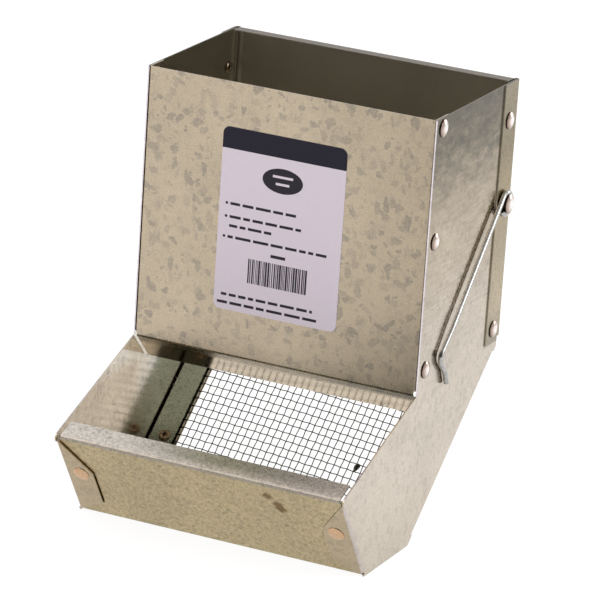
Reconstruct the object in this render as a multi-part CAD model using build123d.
from build123d import *
import os
from math import asin, atan2, cos, degrees, hypot, radians, sin, tan

# Galvanised sheet-metal gravity feeder for a cage or hutch, in millimetres.
# The finished frame has its origin in the middle of the flat underside. +X is the feeder's right
# seen from its trough side, +Y runs from the trough to the back, and +Z is up.
# The shapes are drawn with Y = 0 on the hopper's front face, and are moved to that frame at the end.

# ---- driving dimensions ----
sheet = 0.6                 # thickness of the galvanised sheet
seam_gap = 0.05             # air between two riveted sheets
bend = 1.4                  # outer radius of a sheet bend
width = 128.0               # across the outer faces of the side panels
depth = 80.0                # hopper, from its front face to its back face
height = 178.4              # hopper's top above the underside
throat_height = 64.3        # lower bend of the front panel
base_front = -38.7          # ends of the flat underside along Y
base_back = 2.1
floor_angle = 40.0          # slanted rear floor, from level
lip_top_y = -64.55          # top bend of the trough's front lip
lip_top_z = 39.0

# ---- side panels ----
floor_flange = 13.8         # inward flange under the slanted floor
floor_flange_start = 5.0    # its ends, measured up the slope from the underside
floor_flange_end = 97.0
tab_reach = 12.7            # inward tab over the lip
tab_start = 3.2             # its low end, measured up the lip
tab_stop = 1.2              # its high end, below the lip's top
flange_clip = 4.0           # cut corners of the floor flange
lip_corner = 2.2            # rounding where the panel meets the lip's top
panel_front_gap = 0.25      # side panel set back from the front panel's face

# ---- wrap: back wall, slanted floor, underside, lip ----
wrap_half = 62.5            # half width where it lies between the side panels
rim_half = 61.9
rim_width = 10.2            # lip's top edge, folded inward
rim_rise = 21.4             # slope of that rim, degrees
rim_trim_height = 9.6       # the lip is narrower than the wrap over this height
ear_front = 66.0            # front edge of the ears that lap the side panels
ear_bottom = 67.4
top_flange = 6.5            # inward fold along the back wall's top
tab_gap = 0.35              # air between the lip and the side panels' tabs
window_half = 52.0          # opening in the slanted floor
window_start = 12.0         # its ends, measured up the slope
window_end = 90.0

# ---- front panel ----
front_flange = 12.0
baffle_half = 62.3
baffle_length = 16.2        # sloped lower edge of the front panel
baffle_angle = 45.5         # below level, running back

# ---- sifter mesh ----
mesh_half = 61.0
mesh_start = 7.5
mesh_end = 95.0
wire = 0.45                 # wire of the sifter mesh
mesh_thickness = 2 * wire - 0.05
pitch_across = 3.05
pitch_along = 3.73

# ---- rivets ----
shank = 1.6                 # radius
hole = 1.7
seam_head = 3.6             # head radius
seam_head_height = 1.35
flat_head = 3.5
flat_head_height = 0.7
ring = 2.6                  # radius of the rolled end
tube = 0.85                 # radius of the hole in the rolled end
ring_height = 0.95
front_seam_y = 6.6
front_seam_z = (174.0, 127.2, 73.8)
back_seam_y = 72.2
back_seam_z = (162.4, 73.3)
tab_rivet_x = 56.9
tab_rivet_up = 25.2         # up the lip from the underside
mesh_rivet_x = 56.2
mesh_rivet_up = (23.1, 77.5)

# ---- wire hooks ----
hook_wire = 1.1             # radius
hook_pivot = (back_seam_y, 127.6)   # Y and Z of the hook rivet
hook_eye = 4.6              # radius of the eye's centre line
hook_eye_turn = 285.0       # degrees of the eye
hook_shoulder = hook_eye - hook_wire - 0.1
hook_head = 4.1
hook_head_height = 1.4
hook_side_gap = 0.25        # wire to ear, and wire to rivet head
hook_elbow = (16.3, 75.4)   # Y and Z of the corners of the hook's free end
hook_jog = (23.5, 68.6)
hook_tip = (25.8, 63.2)
hook_lean_start = 15.0      # the free end leans in to the panel over this length
hook_panel_gap = 0.3

# ---- card holder on the back wall ----
card_half = 41.0
card_low = 84.0
card_high = 148.0
card_slot = 2.05            # depth over the sheet's centre lines
card_return = 5.0
card_sheet = 0.5
card_rivet_x = 25.0
card_rivet_z = 128.0

# ---- product label ----
label_size = (55.1, 76.5)
label_centre = (-0.85, 121.75)
label_corner = 3.0
label_thickness = 0.12

half = width / 2
side_inner = half - sheet
ear_outer = half + seam_gap + sheet
stack = sheet + 2 * seam_gap + mesh_thickness   # outline of the side panel to the wrap's underside
slope = radians(floor_angle)
lip_lean = atan2(lip_top_z, base_front - lip_top_y)
lip_inset = (sheet + tab_gap) / sin(lip_lean)
lip_foot_y = base_front + lip_inset             # corners of the wrap's underside
floor_foot_y = base_back - stack / sin(slope)
flat_front = lip_foot_y + bend * tan(lip_lean / 2)      # ends of its flat stretch, between the bends
flat_back = floor_foot_y - bend * tan(slope / 2)
to_origin = -(flat_front + flat_back) / 2       # move along Y to the finished frame


def strip(points, radius, thickness, side):
    """Closed section of a bent sheet: outer line through points, thickness to the named side."""
    outer = FilletPolyline(*points, radius=radius)
    return make_face(Wire(outer.edges()).offset_2d(thickness, side=side))


def bar_across(section, half_width):
    """Extrude a YZ section to both sides of mid-width."""
    return extrude(Plane.YZ * section, amount=half_width, both=True)


def on_slope(s, lift, x=0.0):
    """Point at distance s up the slanted floor, lifted off the side panels' outline."""
    return (x, base_back + s * cos(slope) - lift * sin(slope), s * sin(slope) + lift * cos(slope))


def on_lip(v, lift, x=0.0):
    """Point at distance v up the lip, moved outward from the side panels' outline."""
    y = base_front - v * cos(lip_lean) - lift * sin(lip_lean)
    return (x, y, v * sin(lip_lean) - lift * cos(lip_lean))


def floor_plane(lift):
    return Plane(origin=on_slope(0, lift), x_dir=(1, 0, 0), z_dir=(0, -sin(slope), cos(slope)))


def mirrored(shape):
    return mirror(shape, about=Plane.YZ)


def folded_edge(start, end, reach, outline):
    """Right-hand side panel: rounded bend along an edge of the outline with a flange to the inside.

    start and end are (y, z), with the panel to the left of the way from start to end. outline is
    the flange's shape as (inward, along) points.
    """
    run = (end[0] - start[0], end[1] - start[1])
    length = hypot(*run)
    run = (run[0] / length, run[1] / length)
    edge = Plane(origin=(half, *start), x_dir=(-1, 0, 0), z_dir=(0, *run))
    section = strip([(reach, 0), (0, 0), (0, 2 * bend)], bend, sheet, Side.RIGHT)
    angle = extrude(edge * section, amount=length)
    flat = Plane(origin=(half, *start), x_dir=(-1, 0, 0), z_dir=(0, run[1], -run[0]))
    keep = extrude(flat * make_face(Polyline(*outline, close=True)), amount=3 * bend, both=True)
    return angle & keep


def cleared_edge(start, end, first, last):
    """Block that trims the flat panel back to where the bend begins."""
    run = (end[0] - start[0], end[1] - start[1])
    length = hypot(*run)
    run = (run[0] / length, run[1] / length)
    plane = Plane(origin=(half, *start), x_dir=(0, *run), z_dir=(1, 0, 0))
    block = Rectangle(last - first, bend + 1, align=(Align.MIN, Align.MAX))
    return extrude(plane * (Pos(first, bend) * block), amount=2, both=True)


def rivet(head, head_height, grip, shoulder=None):
    """Semi-tubular rivet along Z that holds what lies between Z = -grip and Z = 0.

    shoulder is the (radius, length) of a wider stretch under the head.
    """
    edge = 0.3 * head_height
    rise = head_height - edge
    dome_radius = (head ** 2 + rise ** 2) / (2 * rise)
    dome_half = asin(head / dome_radius) / 2
    dome_middle = (dome_radius * sin(dome_half), head_height - dome_radius * (1 - cos(dome_half)))
    end = grip + ring_height
    roll_start = (tube, -end + 0.3)
    roll_end = (ring, -grip - 0.4)
    under = [roll_end, (ring, -grip), (shank, -grip)]
    if shoulder:
        reach, span = shoulder
        under += [(shank, -span), (reach, -span), (reach, 0)]
    else:
        under += [(shank, 0)]
    under += [(head, 0), (head, edge)]
    outline = [
        Polyline((0, -grip + 0.2), (tube, -grip + 0.2), roll_start),
        ThreePointArc(roll_start, ((tube + ring) / 2 - 0.2, -end), roll_end),
        Polyline(*under),
        ThreePointArc((head, edge), dome_middle, (0, head_height)),
        Line((0, head_height), (0, -grip + 0.2)),
    ]
    edges = [edge_part for curve in outline for edge_part in curve.edges()]
    return revolve(Plane.XZ * make_face(Wire(edges)), axis=Axis.Z)


def placed(shape, point, outward):
    return Plane(origin=point, z_dir=outward).location * shape


def drill(point, outward, radius=hole, length=8.0):
    return placed(Cylinder(radius, length), point, outward)


# ---- body wrap ----
def make_body_wrap():
    wall_foot = (depth, (depth - base_back) * tan(slope) + stack / cos(slope))
    floor_foot = (floor_foot_y, 0)
    lip_foot = (lip_foot_y, 0)
    lip_top = (lip_top_y + lip_inset, lip_top_z)
    rise = radians(rim_rise)
    rim_end = (lip_top[0] + rim_width * cos(rise), lip_top[1] + rim_width * sin(rise))
    flange_end = (depth - top_flange, height)
    outer = [flange_end, (depth, height), wall_foot, floor_foot, lip_foot, lip_top, rim_end]
    body = bar_across(strip(outer, bend, sheet, Side.RIGHT), wrap_half)
    rim_trim = Pos(0, lip_top[0], lip_top[1] + 4) * Box(
        wrap_half - rim_half, 40, rim_trim_height, align=(Align.MIN, Align.CENTER, Align.CENTER))
    body -= Pos(rim_half, 0, 0) * rim_trim
    body -= Pos(-wrap_half, 0, 0) * rim_trim
    channel = [(-ear_outer, ear_front), (-ear_outer, depth), (ear_outer, depth), (ear_outer, ear_front)]
    back = extrude(strip(channel, bend, sheet, Side.RIGHT), amount=height - ear_bottom)
    back = Pos(0, 0, ear_bottom) * back
    bend_room = Pos(0, depth, ear_bottom) * Box(
        2 * ear_outer + 1, 6, 3.2, align=(Align.CENTER, Align.CENTER, Align.CENTER))
    top_room = Pos(0, depth, height) * Box(2 * wrap_half, 2 * bend, 2 * bend)
    body += back - bend_room - top_room
    window = Rectangle(2 * window_half, window_end - window_start, align=(Align.CENTER, Align.MIN))
    body -= extrude(floor_plane(stack) * (Pos(0, window_start) * window), amount=3, both=True)
    for side in (-1, 1):
        for up in mesh_rivet_up:
            body -= drill(on_slope(up, stack, side * mesh_rivet_x), (0, -sin(slope), cos(slope)))
        body -= drill(on_lip(tab_rivet_up, 0, side * tab_rivet_x), (0, -sin(lip_lean), -cos(lip_lean)))
        for z in (*back_seam_z, hook_pivot[1]):
            body -= drill((side * half, back_seam_y, z), (1, 0, 0))
        body -= drill((side * card_rivet_x, depth, card_rivet_z), (0, 1, 0))
    return body


# ---- side panels ----
def make_right_side_panel():
    panel_back = depth - bend - seam_gap
    foot = (base_back, 0)
    heel = (panel_back, (panel_back - base_back) * tan(slope))
    toe = (base_front, 0)
    lip = (lip_top_y, lip_top_z)
    corner = (panel_front_gap, throat_height + 0.1)
    outline = [foot, heel, (panel_back, height), (panel_front_gap, height), corner, lip, toe]
    plate = extrude(Plane.YZ * make_face(Polyline(*outline, close=True)), amount=sheet)
    plate = Pos(side_inner, 0, 0) * plate
    lip_edge = plate.edges().filter_by(Axis.X).sort_by_distance(Vertex(half, *lip))[0]
    plate = fillet(lip_edge, lip_corner)
    lip_length = hypot(lip[0] - toe[0], lip[1])
    tab_last = lip_length - tab_stop
    plate -= cleared_edge(foot, heel, floor_flange_start, floor_flange_end)
    plate -= cleared_edge(lip, toe, tab_start, tab_last)
    flange_shape = [(-1, floor_flange_start), (bend, floor_flange_start),
                    (floor_flange, floor_flange_start + flange_clip),
                    (floor_flange, floor_flange_end - flange_clip),
                    (bend, floor_flange_end), (-1, floor_flange_end)]
    tab_shape = [(-1, tab_start), (bend, tab_start), (tab_reach, lip_length - 26.4),
                 (tab_reach, lip_length - 8.0), (4.0, lip_length - 2.2), (bend, tab_last), (-1, tab_last)]
    plate += folded_edge(foot, heel, floor_flange, flange_shape)
    plate += folded_edge(lip, toe, tab_reach, tab_shape)
    for up in mesh_rivet_up:
        plate -= drill(on_slope(up, 0, mesh_rivet_x), (0, -sin(slope), cos(slope)))
    plate -= drill(on_lip(tab_rivet_up, 0, tab_rivet_x), (0, -sin(lip_lean), -cos(lip_lean)), length=6)
    for z in front_seam_z:
        plate -= drill((half, front_seam_y, z), (1, 0, 0))
    for z in (*back_seam_z, hook_pivot[1]):
        plate -= drill((half, back_seam_y, z), (1, 0, 0))
    return plate


# ---- front panel ----
def make_front_panel():
    flange_outer = side_inner - seam_gap
    channel = [(flange_outer, front_flange), (flange_outer, 0),
               (-flange_outer, 0), (-flange_outer, front_flange)]
    lower = throat_height + bend + 0.4
    shell = Pos(0, 0, lower) * extrude(strip(channel, bend, sheet, Side.RIGHT), amount=height - lower)
    drop = radians(baffle_angle)
    baffle_end = (baffle_length * cos(drop), throat_height - baffle_length * sin(drop))
    profile = strip([(0, lower + 4), (0, throat_height), baffle_end], bend, sheet, Side.LEFT)
    shell += bar_across(profile, baffle_half)
    for side in (-1, 1):
        for z in front_seam_z:
            shell -= drill((side * half, front_seam_y, z), (1, 0, 0))
    return shell


# ---- sifter mesh ----
def make_sifter_mesh():
    plane = floor_plane(sheet + seam_gap)
    sheet_face = Rectangle(2 * mesh_half, mesh_end - mesh_start, align=(Align.CENTER, Align.MIN))
    columns = int(2 * window_half / pitch_across)
    rows = int((window_end - window_start) / pitch_along)
    first_row = (window_start + window_end - (rows - 1) * pitch_along) / 2
    gap = (pitch_across - wire, pitch_along - wire)
    gaps = [
        Pos((i - (columns - 1) / 2) * pitch_across, first_row + j * pitch_along) * Rectangle(*gap)
        for i in range(columns)
        for j in range(rows)
    ]
    face = Pos(0, mesh_start) * sheet_face
    outer = face.faces()[0].outer_wire()
    inner = [gap_face.faces()[0].outer_wire() for gap_face in gaps]
    for side in (-1, 1):
        for up in mesh_rivet_up:
            circle = Pos(side * mesh_rivet_x, up) * Circle(hole)
            inner.append(circle.faces()[0].outer_wire())
    grid = Face(outer, inner)
    return extrude(plane * grid, amount=mesh_thickness, dir=plane.z_dir)


# ---- rivets ----
def make_front_seam_rivets(side):
    grip = 2 * sheet + seam_gap
    one = rivet(seam_head, seam_head_height, grip)
    return [placed(one, (side * half, front_seam_y, z), (side, 0, 0)) for z in front_seam_z]


def make_back_seam_rivets(side):
    grip = 2 * sheet + seam_gap
    one = rivet(seam_head, seam_head_height, grip)
    return [placed(one, (side * ear_outer, back_seam_y, z), (side, 0, 0)) for z in back_seam_z]


def make_tab_rivet(side):
    grip = 2 * sheet + tab_gap
    one = rivet(flat_head, flat_head_height, grip)
    return [placed(one, on_lip(tab_rivet_up, 0, side * tab_rivet_x), (0, -sin(lip_lean), -cos(lip_lean)))]


def make_mesh_rivets(side):
    grip = stack + sheet
    one = rivet(flat_head, flat_head_height, grip)
    outward = (0, sin(slope), -cos(slope))
    return [placed(one, on_slope(up, 0, side * mesh_rivet_x), outward) for up in mesh_rivet_up]


hook_x = ear_outer + hook_side_gap + hook_wire
hook_head_x = hook_x + hook_wire + hook_side_gap


def make_hook_rivet(side):
    span = hook_head_x - ear_outer
    grip = span + 2 * sheet + seam_gap
    one = rivet(hook_head, hook_head_height, grip, shoulder=(hook_shoulder, span))
    return [placed(one, (side * hook_head_x, *hook_pivot), (side, 0, 0))]


def make_card_rivets():
    grip = sheet + card_sheet + seam_gap
    one = rivet(flat_head, flat_head_height, grip)
    y = depth + seam_gap + card_sheet
    return [placed(one, (side * card_rivet_x, y, card_rivet_z), (0, 1, 0)) for side in (-1, 1)]


# ---- wire hooks ----
def make_right_hook():
    run = (hook_elbow[0] - hook_pivot[0], hook_elbow[1] - hook_pivot[1])
    reach = hypot(*run)
    heading = atan2(run[1], run[0]) + atan2(hook_eye, (reach ** 2 - hook_eye ** 2) ** 0.5)
    tangent_angle = heading - radians(90)
    tangent = (hook_pivot[0] + hook_eye * cos(tangent_angle), hook_pivot[1] + hook_eye * sin(tangent_angle))
    eye_plane = Plane(origin=(hook_x, *hook_pivot), x_dir=(0, 1, 0), z_dir=(1, 0, 0))
    eye_start = degrees(tangent_angle) - hook_eye_turn
    eye = eye_plane.location * CenterArc((0, 0), hook_eye, eye_start, hook_eye_turn)
    straight = hypot(hook_elbow[0] - tangent[0], hook_elbow[1] - tangent[1])
    lean = (straight - hook_lean_start) / straight
    lean_y = tangent[0] + lean * (hook_elbow[0] - tangent[0])
    lean_z = tangent[1] + lean * (hook_elbow[1] - tangent[1])
    low_x = half + hook_panel_gap + hook_wire
    corners = [(hook_x, *tangent), (hook_x, lean_y, lean_z), (low_x, *hook_elbow), (low_x, *hook_jog),
               (low_x, *hook_tip)]
    arm = FilletPolyline(*corners, radius=[30.0, 4.0, 4.0])
    path = Wire([*eye.edges(), *arm.edges()])
    start = path @ 0
    section = Plane(origin=start, z_dir=path % 0) * Circle(hook_wire)
    return sweep(section, path=path)


# ---- card holder and label ----
def make_card_holder():
    inner_y = depth + seam_gap
    outer_y = inner_y + card_sheet + card_slot
    channel = [(-card_half + card_return, outer_y), (-card_half, outer_y), (-card_half, inner_y),
               (card_half, inner_y), (card_half, outer_y), (card_half - card_return, outer_y)]
    sleeve = extrude(strip(channel, 0.8, card_sheet, Side.LEFT), amount=card_high - card_low)
    sleeve = Pos(0, 0, card_low) * sleeve
    stop_low = card_low - 0.2
    stop = strip([(inner_y, card_low + 8), (inner_y, stop_low), (outer_y, stop_low), (outer_y, card_low + 4)],
                 0.8, card_sheet, Side.LEFT)
    sleeve += bar_across(stop, card_half - card_return - 2)
    for side in (-1, 1):
        sleeve -= drill((side * card_rivet_x, depth, card_rivet_z), (0, 1, 0), length=4)
    return sleeve


def make_label():
    face = RectangleRounded(*label_size, label_corner)
    plane = Plane(origin=(label_centre[0], -0.02, label_centre[1]), x_dir=(1, 0, 0), z_dir=(0, -1, 0))
    return extrude(plane * face, amount=label_thickness)


def grouped(parts):
    """Separate solids as one node."""
    solids = [solid for part in parts for solid in part.solids()]
    return solids[0] if len(solids) == 1 else Compound(children=solids)


def in_final_frame(shape):
    """Each solid is moved by itself, because intersections with a moved group come out wrong."""
    return grouped([Pos(0, to_origin, 0) * solid for solid in shape.solids()])


right_side_panel = make_right_side_panel()
right_hook = make_right_hook()
nodes = {
    "body_wrap": make_body_wrap(),
    "right_side_panel": right_side_panel,
    "left_side_panel": mirrored(right_side_panel),
    "front_panel": make_front_panel(),
    "sifter_mesh": make_sifter_mesh(),
    "right_hook": right_hook,
    "left_hook": mirrored(right_hook),
    "card_holder": make_card_holder(),
    "card_holder_rivets": grouped(make_card_rivets()),
    "product_label": make_label(),
}
for side, name in ((-1, "left"), (1, "right")):
    nodes[f"{name}_front_seam_rivets"] = grouped(make_front_seam_rivets(side))
    nodes[f"{name}_back_seam_rivets"] = grouped(make_back_seam_rivets(side))
    nodes[f"{name}_tab_rivet"] = grouped(make_tab_rivet(side))
    nodes[f"{name}_mesh_rivets"] = grouped(make_mesh_rivets(side))
    nodes[f"{name}_hook_rivet"] = grouped(make_hook_rivet(side))

os.makedirs("parts", exist_ok=True)
for name, shape in nodes.items():
    export_step(in_final_frame(shape), f"parts/{name}.step")
